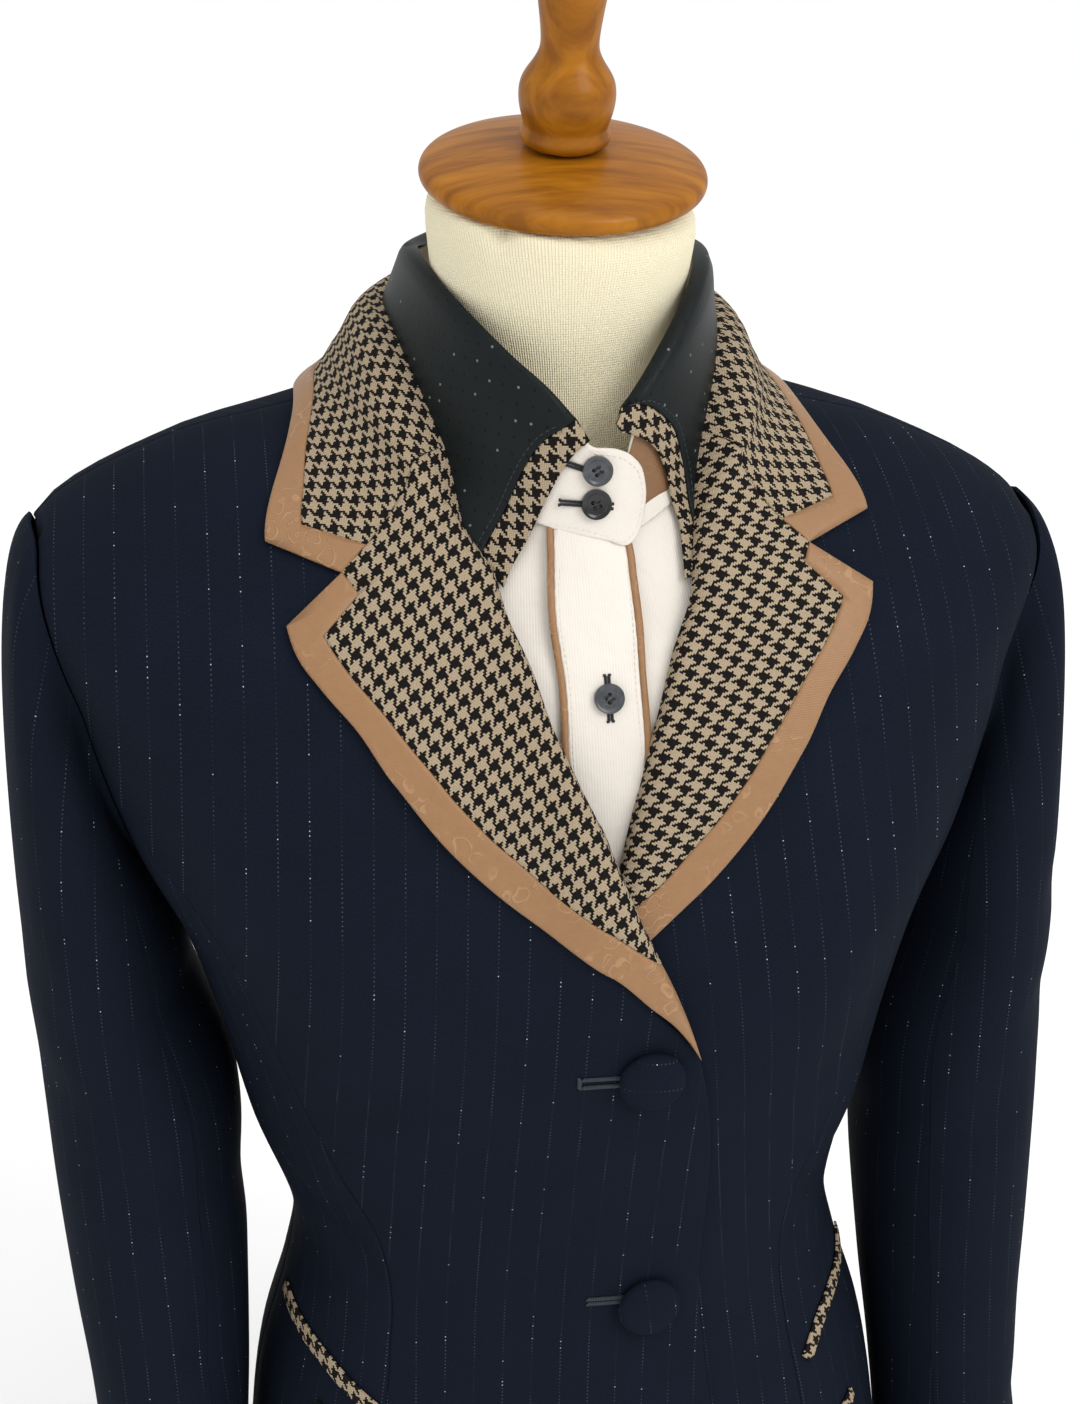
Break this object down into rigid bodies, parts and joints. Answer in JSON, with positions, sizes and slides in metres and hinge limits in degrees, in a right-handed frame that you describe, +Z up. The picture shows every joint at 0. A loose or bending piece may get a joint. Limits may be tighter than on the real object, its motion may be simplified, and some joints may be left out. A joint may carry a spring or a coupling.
{
  "type": "showmanship suit jacket and shirt on a limbless dress form",
  "caption": "Fitted show jacket with check lapels and a shirt with a stand collar, worn by a limbless tabletop dress form with a turned cap.",
  "frame": {"origin": "on the surface under the foot, below the centre of the whole part", "axes": "+Z up, the front faces -Y, the wearer's left is +X"},
  "size_m": [0.447, 0.2699, 0.8592],
  "materials": {
    "navy_pinstripe_wool": "fine dark twill with dotted pin-stripes",
    "houndstooth": "coarse black and tan houndstooth weave",
    "tan_brocade": "satin brocade, tone on tone",
    "black_satin": "smooth satin with pin-dots",
    "ivory_satin": "soft satin",
    "cream_jersey": "finely ribbed jersey",
    "honey_wood": "gloss varnish",
    "grey_shell": "satin"
  },
  "bodies": {
    "root": {"collar_band": "tan_brocade", "collar_fall": "houndstooth", "collar_inlay_left": "houndstooth", "collar_inlay_right": "houndstooth", "collar_stand": "houndstooth", "form_finial": "honey_wood", "form_foot": "honey_wood", "form_neck_cap": "honey_wood", "form_torso": "cream_jersey", "jacket_back_left": "navy_pinstripe_wool", "jacket_back_right": "navy_pinstripe_wool", "jacket_button_low": "navy_pinstripe_wool", "jacket_button_top": "navy_pinstripe_wool", "jacket_front_left": "navy_pinstripe_wool", "jacket_front_right": "navy_pinstripe_wool", "jacket_side_back_left": "navy_pinstripe_wool", "jacket_side_back_right": "navy_pinstripe_wool", "jacket_side_front_left": "navy_pinstripe_wool", "jacket_side_front_right": "navy_pinstripe_wool", "jacket_sleeve_under_left": "navy_pinstripe_wool", "jacket_sleeve_under_right": "navy_pinstripe_wool", "jacket_sleeve_upper_left": "navy_pinstripe_wool", "jacket_sleeve_upper_right": "navy_pinstripe_wool", "lapel_band_left": "tan_brocade", "lapel_band_right": "tan_brocade", "lapel_left": "houndstooth", "lapel_right": "houndstooth", "placket_button": "grey_shell", "placket_piping_left": "tan_brocade", "placket_piping_right": "tan_brocade", "pocket_trim_lower_left": "houndstooth", "pocket_trim_lower_right": "houndstooth", "pocket_trim_upper_left": "houndstooth", "pocket_trim_upper_right": "houndstooth", "shirt_back": "ivory_satin", "shirt_collar_leaf": "black_satin", "shirt_collar_stand": "ivory_satin", "shirt_front_left": "ivory_satin", "shirt_front_right": "ivory_satin", "shirt_placket": "ivory_satin", "stand_button_low": "black_satin", "stand_button_top": "grey_shell"}
  },
  "joints": []
}
